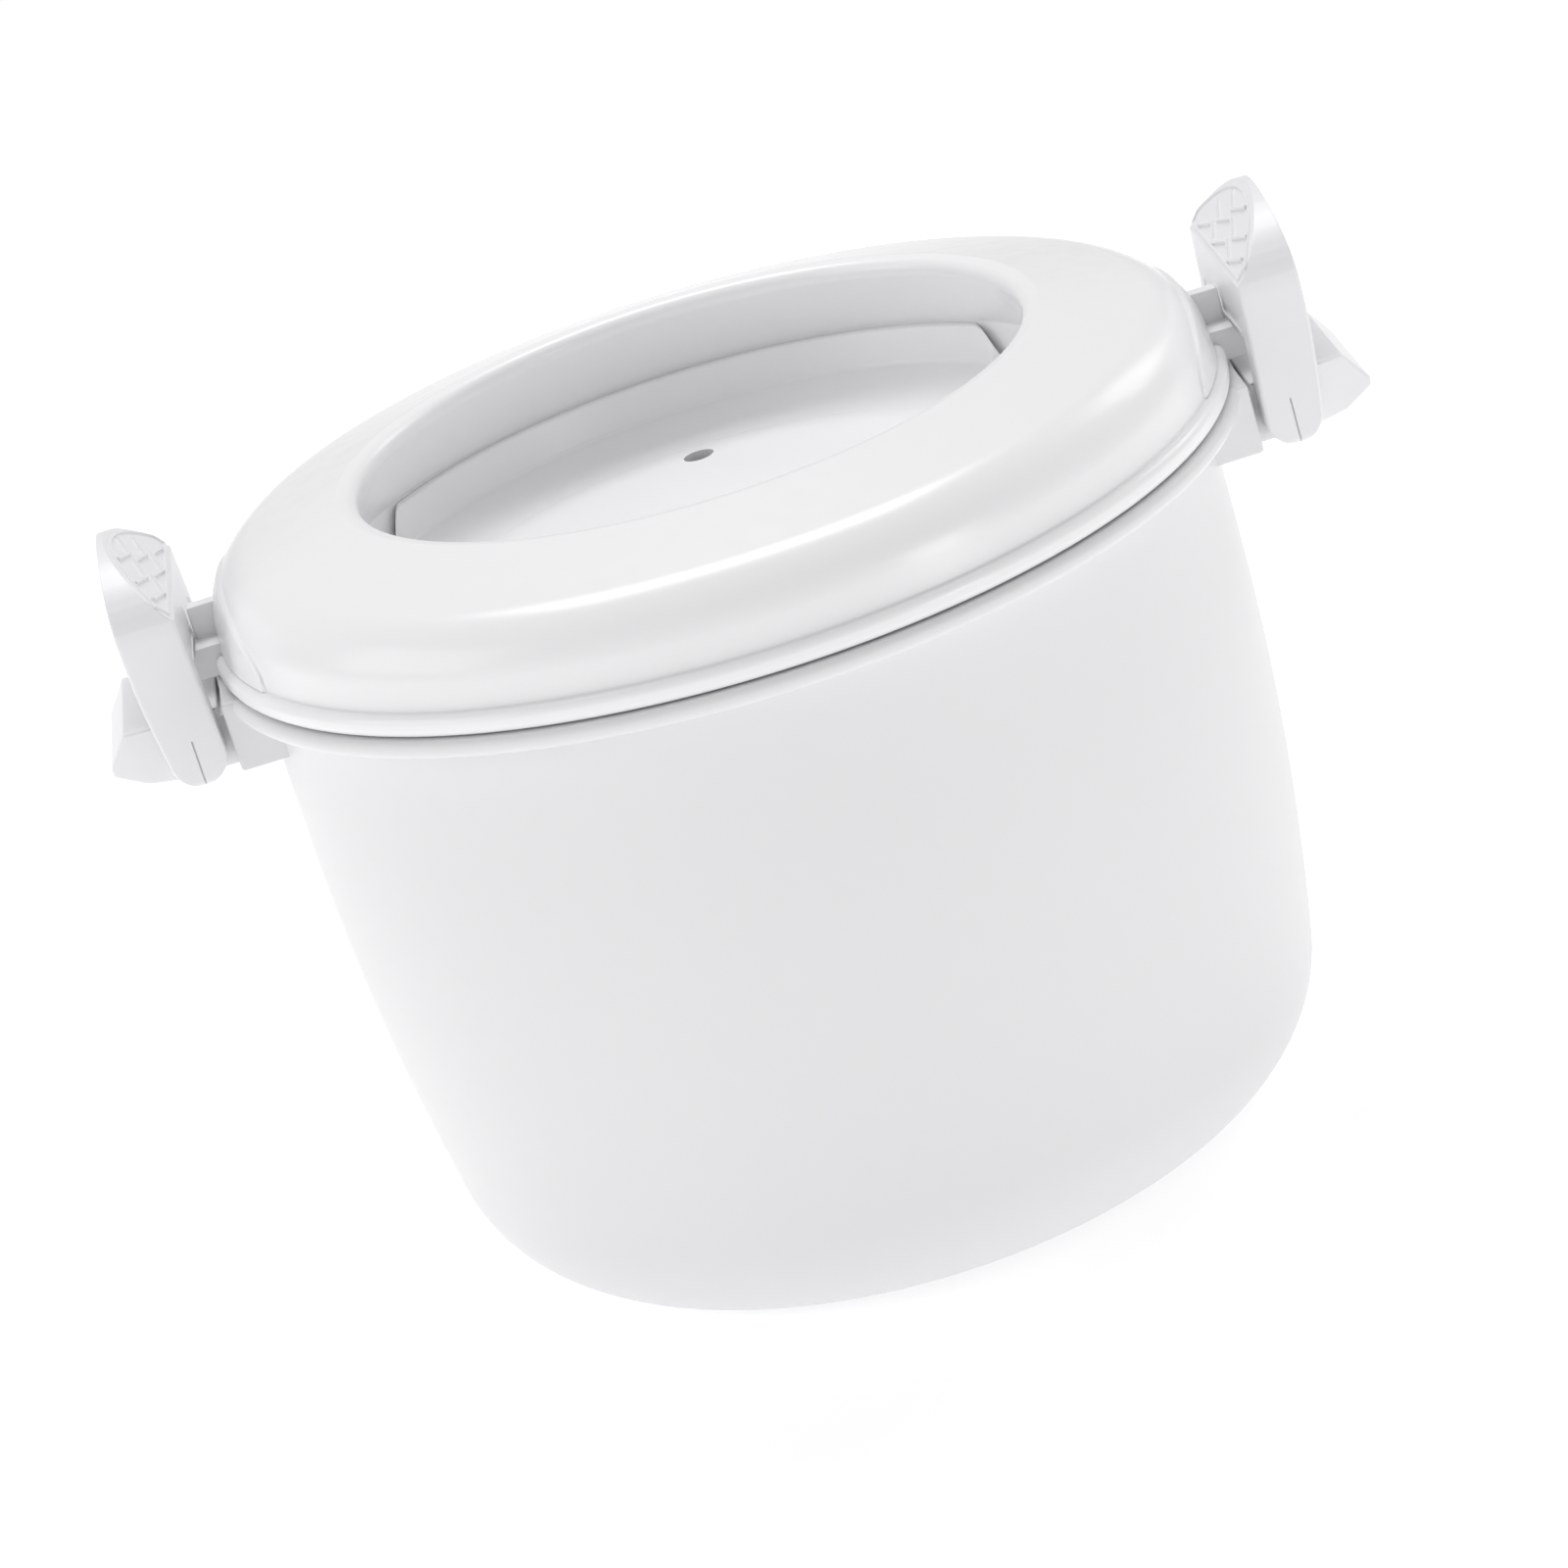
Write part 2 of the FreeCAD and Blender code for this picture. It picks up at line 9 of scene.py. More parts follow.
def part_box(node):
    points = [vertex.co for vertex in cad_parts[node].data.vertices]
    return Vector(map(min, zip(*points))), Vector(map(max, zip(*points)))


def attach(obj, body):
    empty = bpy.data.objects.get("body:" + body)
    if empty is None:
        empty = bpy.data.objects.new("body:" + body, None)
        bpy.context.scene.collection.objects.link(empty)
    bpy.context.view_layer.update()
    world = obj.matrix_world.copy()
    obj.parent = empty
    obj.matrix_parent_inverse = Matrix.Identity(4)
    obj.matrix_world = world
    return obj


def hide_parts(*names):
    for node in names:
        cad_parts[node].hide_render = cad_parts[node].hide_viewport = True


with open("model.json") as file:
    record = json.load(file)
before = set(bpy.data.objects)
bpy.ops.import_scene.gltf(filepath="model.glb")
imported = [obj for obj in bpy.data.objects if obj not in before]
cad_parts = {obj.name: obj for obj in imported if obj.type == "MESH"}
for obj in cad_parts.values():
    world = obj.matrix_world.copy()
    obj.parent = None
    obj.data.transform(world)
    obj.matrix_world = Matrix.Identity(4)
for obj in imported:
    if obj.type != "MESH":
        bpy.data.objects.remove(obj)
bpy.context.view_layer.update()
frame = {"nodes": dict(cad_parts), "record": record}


def mm(size):
    """Millimetres as metres."""
    return size * 0.001


# Places and sizes read from the frame.
JOINTS = {joint["name"]: joint for joint in frame["record"]["behaviour"]["joints"]}
PIVOT = Vector(JOINTS["latch_right_swing"]["pos_m"])
POT_LOW, POT_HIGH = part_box("pot")
LID_LOW, LID_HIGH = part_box("outer_lid")
PLATE_LOW, PLATE_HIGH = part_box("inner_lid")
LATCH_LOW, LATCH_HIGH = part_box("latch_right")
ARM_LOW, ARM_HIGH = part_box("handle_right")
RIM = POT_HIGH[2]
RIM_RADIUS = POT_HIGH[1]

# Pot: everything follows from the rim's radius.
BODY_RADIUS = RIM_RADIUS - mm(6.1)
POT_WALL = mm(2.8)
BORE = BODY_RADIUS - POT_WALL
MOUTH = BORE + mm(1.7)
BOW_RADIUS = mm(440)
BOW_START = RIM - mm(28.5)
BASE_ROUND = mm(23.5)
FLOOR_THICK = mm(3.2)
RIM_THICK = mm(3.0)
BRACKET_FACE = BODY_RADIUS + mm(5.6)
BRACKET_BOTTOM = ARM_LOW[2]
BRACKET_HALF = ARM_HIGH[1] + mm(5.0)
COPLANAR_GAP = mm(0.03)

# Outer lid.
BEAD_RADIUS = LID_HIGH[1]
LID_WALL = mm(2.4)
OPENING_RADIUS = BODY_RADIUS - mm(26.3)
SKIRT_RADIUS = OPENING_RADIUS + mm(9.4)
SIDE_RADIUS = BODY_RADIUS + mm(3.3)
SHOULDER_RADIUS = BODY_RADIUS + mm(2.1)
REST_GAP = mm(0.3)
SPIGOT_RADIUS = MOUTH - REST_GAP
SPIGOT_END = RIM - mm(1.0)
BEAD_TOP = RIM + mm(4.0)
SKIRT_TURN = RIM + mm(6.6)
RIB_TOP = RIM + mm(11.7)
SHOULDER_TOP = RIM + mm(15.6)
LIP_TOP = RIM + mm(20.5)
CROWN_TOP = RIM + mm(21.1)
HEM_THICK = mm(2.9)

# Latch, in the plane of its profile.
KNUCKLE = mm(4.8)
LATCH_HALF = LATCH_HIGH[1]
LATCH_TOP = LATCH_HIGH[2]
FORK_HALF = ARM_HIGH[1] + mm(0.5)
FOOT_IN = PIVOT.x - KNUCKLE
FOOT_OUT = PIVOT.x + KNUCKLE
FORK_ROOF = PIVOT.z + mm(15.7)
ARCH_RISE = mm(8.0)
PAD_FOOT = Vector((FOOT_IN + mm(1.1), RIM + mm(16.3)))
TOP_OUT = Vector((PIVOT.x + mm(6.0), LATCH_TOP))
TOP_IN = TOP_OUT - Vector((mm(1.2), 0))
OUTER_FACE_RADIUS = mm(150)
NOSE_TIP = FOOT_IN + mm(2.6)
NOSE_BACK = NOSE_TIP - mm(2.0)
KEEPER_TOP = RIM + mm(6.1)
NOSE_DROP = mm(3.5)
SLOPE = NOSE_DROP / (NOSE_TIP - NOSE_BACK)

TURNS = 360


# ---------------------------------------------------------------- outlines


def rounded(corners, steps=6):
    """A closed outline from (across, up, radius) corners, with the corners rounded."""
    points = []
    for index, (across, up, radius) in enumerate(corners):
        here = Vector((across, up))
        if radius <= 0:
            points.append(here)
            continue
        before = (Vector(corners[index - 1][:2]) - here).normalized()
        after = (Vector(corners[(index + 1) % len(corners)][:2]) - here).normalized()
        half = before.angle(after) / 2
        centre = here + (before + after).normalized() * radius / math.sin(half)
        start = here + before * radius / math.tan(half) - centre
        end = here + after * radius / math.tan(half) - centre
        for step in range(steps + 1):
            points.append(centre + start.slerp(end, step / steps).normalized() * radius)
    return points


def arc_points(centre, radius, first, last, steps):
    """Points on a circle from one angle to another, in radians."""
    turns = [first + (last - first) * step / steps for step in range(steps + 1)]
    return [centre + Vector((math.cos(turn), math.sin(turn))) * radius for turn in turns]


def bowl_side(bow, corner, floor):
    """Points from the floor's edge round the base corner and up the bowed side."""
    bow_centre = Vector((BODY_RADIUS - BOW_RADIUS, BOW_START))
    reach = math.sqrt((bow - corner) ** 2 - (BOW_START - floor - corner) ** 2)
    corner_centre = Vector((bow_centre.x + reach, floor + corner))
    meet = math.atan2(corner_centre.y - bow_centre.y, reach)
    turn = arc_points(corner_centre, corner, -math.pi / 2, meet, 18)
    side = arc_points(bow_centre, bow, meet, 0, 24)
    return turn + side[1:]


# ---------------------------------------------------------------- meshes


def lathe(profile, turns=TURNS):
    """A closed mesh from a closed outline turned about Z."""
    mesh = bmesh.new()
    rings = []
    for radius, height in profile:
        if radius < mm(0.001):
            rings.append([mesh.verts.new((0, 0, height))] * turns)
            continue
        ring = []
        for step in range(turns):
            angle = 2 * math.pi * step / turns
            where = (radius * math.cos(angle), radius * math.sin(angle), height)
            ring.append(mesh.verts.new(where))
        rings.append(ring)
    for near, far in zip(rings, rings[1:] + rings[:1]):
        for step in range(turns):
            ahead = (step + 1) % turns
            corners = dict.fromkeys((near[step], near[ahead], far[ahead], far[step]))
            if len(corners) > 2:
                mesh.faces.new(list(corners))
    return mesh


def inward(outline):
    """For each point of a closed outline, the step that insets both its sides by one."""
    count = len(outline)
    area = sum(
        outline[index - 1][0] * outline[index][1] - outline[index][0] * outline[index - 1][1]
        for index in range(count)
    )
    turn = 1 if area > 0 else -1
    steps = []
    for index in range(count):
        before = (Vector(outline[index]) - Vector(outline[index - 1])).normalized()
        after = (Vector(outline[(index + 1) % count]) - Vector(outline[index])).normalized()
        along = (before + after).normalized()
        steps.append(Vector((-along.y, along.x)) * turn / max(along.dot(before), 0.3))
    return steps


def slab(outline, low, high, place, bevel, steps=3):
    """An outline between two depths, with its two rims rounded by bevel.

    place(across, up, depth) gives the vertex's position.
    """
    insets = inward(outline)
    layers = []
    for step in range(steps + 1):
        turn = math.pi / 2 * step / steps
        layers.append((bevel * (1 - math.sin(turn)), bevel * (1 - math.cos(turn))))
    sections = [(inset, low + depth) for inset, depth in layers]
    sections += [(inset, high - depth) for inset, depth in reversed(layers)]
    if bevel <= 0:
        sections = [(0, low), (0, high)]
    mesh = bmesh.new()
    loops = []
    for inset, depth in sections:
        spots = [Vector(point) + aside * inset for point, aside in zip(outline, insets)]
        loops.append([mesh.verts.new(place(spot.x, spot.y, depth)) for spot in spots])
    mesh.faces.new(loops[0])
    mesh.faces.new(loops[-1])
    for near, far in zip(loops, loops[1:]):
        for index in range(len(outline)):
            ahead = (index + 1) % len(outline)
            mesh.faces.new((near[index], near[ahead], far[ahead], far[index]))
    return mesh


def prism(outline, half, bevel):
    """An XZ outline between -half and +half in Y."""
    return slab(outline, -half, half, lambda x, z, y: Vector((x, y, z)), bevel)


# Half a rib's section, as shares of its width and height, and then its mirror image.
RIB_SECTION = [(-0.5, -0.25), (-0.28, 0.85), (-0.1, 1.0)]
RIB_SECTION += [(-aside, up) for aside, up in reversed(RIB_SECTION)]


def strip(path, closed, width, height, place):
    """A raised rib of flat-topped section along a path on a surface.

    place(across, along, up) gives a point on or above the surface.
    """
    count = len(path)
    mesh = bmesh.new()
    rows = []
    for index, point in enumerate(path):
        before = point - path[index - 1] if closed or index > 0 else None
        after = path[(index + 1) % count] - point if closed or index < count - 1 else None
        before = (before or after).normalized()
        after = (after or before).normalized()
        along = (before + after).normalized()
        mitre = Vector((-along.y, along.x)) / max(along.dot(before), 0.5)
        row = []
        for aside, up in RIB_SECTION:
            spot = point + mitre * aside * width
            row.append(mesh.verts.new(place(spot.x, spot.y, up * height)))
        rows.append(row)
    pairs = list(zip(rows, rows[1:]))
    if closed:
        pairs.append((rows[-1], rows[0]))
    else:
        mesh.faces.new(rows[0])
        mesh.faces.new(rows[-1])
    for near, far in pairs:
        for index in range(len(near)):
            ahead = (index + 1) % len(near)
            mesh.faces.new((near[index], near[ahead], far[ahead], far[index]))
    return mesh


def piece(name, mesh, body, material, replaced=(), side=1, crease=32):
    """Turns a bmesh into a piece that rides on a body; side -1 mirrors it in X."""
    for vertex in mesh.verts:
        vertex.co.x *= side
    bmesh.ops.recalc_face_normals(mesh, faces=mesh.faces)
    data = bpy.data.meshes.new(name)
    mesh.to_mesh(data)
    mesh.free()
    data.polygons.foreach_set("use_smooth", [True] * len(data.polygons))
    data.set_sharp_from_angle(angle=math.radians(crease))
    data.materials.append(material)
    made = bpy.data.objects.new(name, data)
    bpy.context.scene.collection.objects.link(made)
    shading = made.modifiers.new("flat_faces", "WEIGHTED_NORMAL")
    shading.keep_sharp = True
    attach(made, body)
    if replaced:
        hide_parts(*replaced)
    return made


def cut(mesh, cutters):
    """The mesh with the cutter meshes taken away; both kinds are used up."""
    scratch = []
    for index, source in enumerate([mesh, *cutters]):
        bmesh.ops.recalc_face_normals(source, faces=source.faces)
        data = bpy.data.meshes.new(f"cut_{index}")
        source.to_mesh(data)
        source.free()
        made = bpy.data.objects.new(f"cut_{index}", data)
        bpy.context.scene.collection.objects.link(made)
        scratch.append(made)
    for cutter in scratch[1:]:
        modifier = scratch[0].modifiers.new("cut", "BOOLEAN")
        modifier.operation = "DIFFERENCE"
        modifier.solver = "EXACT"
        modifier.object = cutter
    ready = scratch[0].evaluated_get(bpy.context.evaluated_depsgraph_get())
    result = bmesh.new()
    result.from_mesh(ready.to_mesh())
    ready.to_mesh_clear()
    for made in scratch:
        data = made.data
        bpy.data.objects.remove(made)
        bpy.data.meshes.remove(data)
    return result


# ---------------------------------------------------------------- materials


def plastic(name, tone, rough, grain, relief):
    """White moulded plastic: faint mottling, uneven gloss and a fine grain.

    grain is the grain's pitch in metres and relief its depth.
    """
    material = bpy.data.materials.new(name)
    material.use_nodes = True
    nodes = material.node_tree.nodes
    links = material.node_tree.links
    shader = nodes["Principled BSDF"]
    shader.inputs["IOR"].default_value = 1.49
    shader.inputs["Specular IOR Level"].default_value = 0.5
    where = nodes.new("ShaderNodeTexCoord")

    def noise(scale, detail, roughness=0.5):
        node = nodes.new("ShaderNodeTexNoise")
        node.inputs["Scale"].default_value = scale
        node.inputs["Detail"].default_value = detail
        node.inputs["Roughness"].default_value = roughness
        links.new(where.outputs["Object"], node.inputs["Vector"])
        return node.outputs["Fac"]

    spread = 0.0015
    mottling = nodes.new("ShaderNodeValToRGB")
    mottling.color_ramp.elements[0].position = 0.35
    mottling.color_ramp.elements[0].color = (*(part - spread for part in tone), 1)
    mottling.color_ramp.elements[1].position = 0.65
    mottling.color_ramp.elements[1].color = (*tone, 1)
    links.new(noise(210, 2), mottling.inputs["Fac"])
    links.new(mottling.outputs["Color"], shader.inputs["Base Color"])

    gloss = nodes.new("ShaderNodeMapRange")
    gloss.inputs["From Min"].default_value = 0.3
    gloss.inputs["From Max"].default_value = 0.7
    gloss.inputs["To Min"].default_value = rough - 0.02
    gloss.inputs["To Max"].default_value = rough + 0.03
    links.new(noise(240, 3), gloss.inputs["Value"])
    links.new(gloss.outputs["Result"], shader.inputs["Roughness"])

    bump = nodes.new("ShaderNodeBump")
    bump.inputs["Strength"].default_value = 0.35
    bump.inputs["Distance"].default_value = relief
    links.new(noise(1 / grain, 2), bump.inputs["Height"])
    links.new(bump.outputs["Normal"], shader.inputs["Normal"])
    return material


def floor_material():
    """Pale, nearly white paper sweep with a trace of unevenness and a faint glow."""
    material = bpy.data.materials.new("studio_paper")
    material.use_nodes = True
    nodes = material.node_tree.nodes
    links = material.node_tree.links
    shader = nodes["Principled BSDF"]
    shader.inputs["Roughness"].default_value = 0.95
    shader.inputs["Specular IOR Level"].default_value = 0.1
    shader.inputs["Emission Color"].default_value = (1, 1, 1, 1)
    shader.inputs["Emission Strength"].default_value = 0.36
    noise = nodes.new("ShaderNodeTexNoise")
    noise.inputs["Scale"].default_value = 6
    ramp = nodes.new("ShaderNodeValToRGB")
    ramp.color_ramp.elements[0].color = (0.93, 0.93, 0.93, 1)
    ramp.color_ramp.elements[1].color = (0.95, 0.95, 0.95, 1)
    links.new(noise.outputs["Fac"], ramp.inputs["Fac"])
    links.new(ramp.outputs["Color"], shader.inputs["Base Color"])
    return material


POT_PLASTIC = plastic("pot_plastic_white", (0.79, 0.79, 0.80), 0.42, mm(0.5), mm(0.03))
LID_PLASTIC = plastic("outer_lid_plastic_white", (0.90, 0.90, 0.91), 0.24, mm(0.9), mm(0.003))
PLATE_PLASTIC = plastic("inner_lid_plastic_white", (0.92, 0.92, 0.93), 0.31, mm(0.9), mm(0.003))
HANDLE_PLASTIC = plastic("handle_plastic_white", (0.88, 0.88, 0.895), 0.38, mm(0.5), mm(0.02))
LATCH_PLASTIC = plastic("latch_plastic_white", (0.85, 0.85, 0.865), 0.33, mm(0.7), mm(0.015))
PIN_PLASTIC = plastic("pin_plastic_white", (0.74, 0.74, 0.74), 0.3, mm(1.0), mm(0.01))


# ---------------------------------------------------------------- pot


def make_pot():
    """Bowl with its stepped rim, and the two brackets below it."""
    outside = bowl_side(BOW_RADIUS, BASE_ROUND, 0)
    inside = bowl_side(BOW_RADIUS - POT_WALL, BASE_ROUND - POT_WALL, FLOOR_THICK)
    under = RIM - RIM_THICK
    rim = rounded(
        [
            (BODY_RADIUS, under - mm(6), 0),
            (BODY_RADIUS, under, mm(0.8)),
            (RIM_RADIUS, under, mm(1.3)),
            (RIM_RADIUS, RIM, mm(1.3)),
            (MOUTH, RIM, mm(0.3)),
            (MOUTH, under, mm(0.2)),
            (BORE, under, mm(0.4)),
            (BORE, under - mm(6), 0),
        ]
    )
    profile = [Vector((0, 0)), *outside, *rim, *reversed(inside), Vector((0, FLOOR_THICK))]
    piece("pot_bowl", lathe(profile), "pot_body", POT_PLASTIC, ["pot"])
    root = BORE + mm(0.05)
    for label, side in (("right", 1), ("left", -1)):
        outline = rounded(
            [
                (root, BRACKET_BOTTOM, 0),
                (BRACKET_FACE, BRACKET_BOTTOM, mm(0.6)),
                (BRACKET_FACE, RIM - COPLANAR_GAP, mm(0.6)),
                (BODY_RADIUS, RIM - COPLANAR_GAP, 0),
                (BODY_RADIUS, RIM - mm(2), 0),
                (root, RIM - mm(4), 0),
            ],
            3,
        )
        block = prism(outline, BRACKET_HALF, mm(0.5))
        name = f"pot_bracket_{label}"
        piece(name, block, "pot_body", POT_PLASTIC, ["pot"], side)


# ---------------------------------------------------------------- outer lid


def lid_profile():
    """The outer lid's outline, from the spigot out over the dome and back."""
    foot = RIM + REST_GAP
    hem = SKIRT_RADIUS + HEM_THICK
    return rounded(
        [
            (SPIGOT_RADIUS, foot, 0),
            (BEAD_RADIUS, foot, mm(1.5)),
            (BEAD_RADIUS, BEAD_TOP, mm(1.5)),
            (SIDE_RADIUS, BEAD_TOP, mm(0.3)),
            (SHOULDER_RADIUS, SHOULDER_TOP, mm(10)),
            (OPENING_RADIUS + mm(4.4), CROWN_TOP, mm(2.0)),
            (OPENING_RADIUS, LIP_TOP, mm(2.0)),
            (SKIRT_RADIUS, SKIRT_TURN, mm(0.8)),
            (SKIRT_RADIUS, RIM, mm(0.5)),
            (hem, RIM, mm(0.5)),
            (hem, SKIRT_TURN, mm(0.8)),
            (OPENING_RADIUS + HEM_THICK, LIP_TOP - LID_WALL, mm(1.5)),
            (SHOULDER_RADIUS - LID_WALL, SHOULDER_TOP - LID_WALL, mm(7.6)),
            (BORE, RIM + mm(3.0), 0),
            (BORE, SPIGOT_END, mm(0.3)),
            (SPIGOT_RADIUS, SPIGOT_END, mm(0.3)),
        ],
        10,
    )


def dome_side(profile, height):
    """Radius of the dome's outer side at a height, and its outward slope."""
    side = [point for point in profile if point.x > OPENING_RADIUS + mm(12)]
    side = [point for point in side if point.y > BEAD_TOP + mm(0.2)]
    side = side[: side.index(max(side, key=lambda point: point.y)) + 1]
    for near, far in zip(side, side[1:]):
        if near.y <= height <= far.y:
            share = (height - near.y) / (far.y - near.y)
            along = (far - near).normalized()
            return near.x + (far.x - near.x) * share, Vector((along.y, -along.x))
    along = (side[1] - side[0]).normalized()
    return side[0].x, Vector((along.y, -along.x))


def arch_pad(profile):
    """A raised arch on the lid's side round a keeper, on the +X side."""
    low = BEAD_TOP
    top = RIM + mm(14.2)
    half = mm(34)
    proud = mm(0.55)
    sunk = mm(0.12)
    edge_width = mm(0.9)
    columns = 72
    rows = 16
    mesh = bmesh.new()
    grid = []
    for column in range(columns + 1):
        share = 2 * column / columns - 1
        angle = share * half / SIDE_RADIUS
        ceiling = low + (top - low) * math.sqrt(max(1 - abs(share) ** 2.4, 0.0)) + mm(0.05)
        line = []
        for row in range(rows + 1):
            rise = 1 - (1 - row / rows) ** 1.6
            height = low + (ceiling - low) * rise
            radius, normal = dome_side(profile, height)
            edge = min((ceiling - height) / edge_width, 1.0)
            lift = -sunk + (proud + sunk) * edge * (2 - edge)
            out = radius + normal.x * lift
            where = (out * math.cos(angle), out * math.sin(angle), height + normal.y * lift)
            line.append(mesh.verts.new(where))
        grid.append(line)
    for near, far in zip(grid, grid[1:]):
        for row in range(rows):
            mesh.faces.new((near[row], near[row + 1], far[row + 1], far[row]))
    backs = bmesh.ops.duplicate(mesh, geom=mesh.verts[:] + mesh.edges[:] + mesh.faces[:])
    for item in backs["geom"]:
        if isinstance(item, bmesh.types.BMVert):
            item.co.x -= mm(1.0)
    rims = [edge for edge in mesh.edges if edge.is_boundary]
    bmesh.ops.bridge_loops(mesh, edges=rims)
    return mesh


def make_outer_lid():
    """Dome, then on each side the arch pad, the keeper's nose and its rib."""
    profile = lid_profile()
    dome = lathe(profile)
    body = "outer_lid_body"
    piece("outer_lid_dome", dome, body, LID_PLASTIC, ["outer_lid"])
    root = SIDE_RADIUS - LID_WALL + mm(0.5)
    nose = rounded(
        [
            (root, RIM + mm(0.6), 0),
            (NOSE_TIP, RIM + mm(0.6), mm(0.4)),
            (NOSE_TIP, KEEPER_TOP - NOSE_DROP, mm(0.3)),
            (NOSE_BACK, KEEPER_TOP, mm(0.3)),
            (root, KEEPER_TOP, 0),
        ],
        3,
    )
    rib = rounded(
        [
            (root, KEEPER_TOP - mm(0.5), 0),
            (FOOT_IN + mm(0.3), KEEPER_TOP - mm(0.5), mm(0.3)),
            (FOOT_IN + mm(0.3), RIB_TOP, mm(0.4)),
            (SHOULDER_RADIUS - LID_WALL + mm(0.5), RIB_TOP, 0),
        ],
        3,
    )
    for label, side in (("right", 1), ("left", -1)):
        for part, mesh in (
            ("arch_pad", arch_pad(profile)),
            ("keeper", prism(nose, mm(6.8), mm(0.3))),
            ("keeper_rib", prism(rib, mm(1.5), mm(0.35))),
        ):
            name = f"outer_lid_{part}_{label}"
            piece(name, mesh, body, LID_PLASTIC, ["outer_lid"], side)


# ---------------------------------------------------------------- inner lid


def make_inner_lid():
    """Dished plate with a raised rim that stops at the two finger notches."""
    low = PLATE_LOW[2]
    flange_low = RIM - mm(2.8)
    flange_top = flange_low + mm(1.5)
    raised_top = PLATE_HIGH[2]
    raised_out = SKIRT_RADIUS - mm(0.12)
    raised_in = raised_out - mm(1.48)
    step = raised_in - mm(1.4)
    dish = step - mm(12.6)
    dish_up = RIM - mm(3.2)
    edge = PLATE_HIGH[1]
    profile = rounded(
        [
            (0, low, 0),
            (dish + mm(2), low, mm(2.0)),
            (step, flange_low, mm(0.8)),
            (edge, flange_low, mm(0.4)),
            (edge, flange_top, mm(0.4)),
            (raised_out, flange_top, mm(0.5)),
            (raised_out, raised_top, mm(0.2)),
            (raised_in, raised_top, mm(0.6)),
            (step, RIM, mm(1.2)),
            (dish, dish_up, mm(1.5)),
            (0, dish_up, 0),
        ],
        5,
    )
    plate = lathe(profile, 576)
    notch = raised_in - mm(9.8)
    fade = mm(1.4)
    floor = RIM + mm(0.2)
    for vertex in plate.verts:
        if vertex.co.z > floor:
            share = min(max((abs(vertex.co.x) - notch + fade) / (2 * fade), 0), 1)
            share = share * share * (3 - 2 * share)
            vertex.co.z -= (vertex.co.z - floor) * share
    vents = []
    vent_radius = mm(2.7)
    for side in (-1, 1):
        drill = bmesh.new()
        place = Matrix.Translation((0, side * (dish - mm(6.1)), RIM - mm(4)))
        bmesh.ops.create_cone(
            drill,
            cap_ends=True,
            segments=48,
            radius1=vent_radius,
            radius2=vent_radius,
            depth=mm(8),
            matrix=place,
        )
        vents.append(drill)
    plate = cut(plate, vents)
    piece("inner_lid_plate", plate, "inner_lid_body", PLATE_PLASTIC, ["inner_lid"])


# ---------------------------------------------------------------- handles


def make_handles():
    """Arm between the latch's cheeks, ending in the tapered wing."""
    low = ARM_LOW[2]
    top = ARM_HIGH[2]
    tip = ARM_HIGH[0]
    tip_up = RIM - mm(7.2)
    heel = RIM_RADIUS + mm(0.4)
    heel_low = RIM - mm(3.2)
    outline = rounded(
        [
            (BRACKET_FACE, low, 0),
            (PIVOT.x + mm(3.6), low, mm(6)),
            (PIVOT.x + mm(9.6), low + mm(1.05), mm(6)),
            (tip - mm(0.1), tip_up - mm(1.0), mm(0.8)),
            (tip, tip_up + mm(0.4), mm(0.8)),
            (tip - mm(3.7), top, mm(0.5)),
            (heel, top, mm(0.3)),
            (heel, heel_low, 0),
            (BRACKET_FACE, heel_low, 0),
        ],
        5,
    )
    for label, side in (("right", 1), ("left", -1)):
        arm = prism(outline, ARM_HIGH[1], mm(0.5))
        node = f"handle_{label}"
        piece(f"{node}_wing", arm, "pot_body", HANDLE_PLASTIC, [node], side)


# ---------------------------------------------------------------- latches


def lever_faces(height):
    """The lever's inner and outer X at a height."""
    if height < PIVOT.z:
        reach = math.sqrt(max(KNUCKLE**2 - (height - PIVOT.z) ** 2, mm(0.4) ** 2))
        return PIVOT.x - reach, PIVOT.x + reach
    if height < PAD_FOOT.y:
        share = (height - PIVOT.z) / (PAD_FOOT.y - PIVOT.z)
        inner = FOOT_IN + (PAD_FOOT.x - FOOT_IN) * share
    else:
        share = (height - PAD_FOOT.y) / (TOP_IN.y - PAD_FOOT.y)
        inner = PAD_FOOT.x + (TOP_IN.x - PAD_FOOT.x) * share
    foot = Vector((FOOT_OUT, PIVOT.z))
    chord = TOP_OUT - foot
    middle = (foot + TOP_OUT) / 2
    across = Vector((-chord.y, chord.x)).normalized()
    depth = math.sqrt(OUTER_FACE_RADIUS**2 - (chord.length / 2) ** 2)
    centre = middle + across * depth
    outer = centre.x + math.sqrt(OUTER_FACE_RADIUS**2 - (height - centre.y) ** 2)
    return inner, outer


def arch_height(across):
    """Height of the lever's arched top edge at a distance from its middle."""
    radius = (LATCH_HALF**2 + ARCH_RISE**2) / (2 * ARCH_RISE)
    return LATCH_TOP - radius + math.sqrt(radius**2 - across**2)


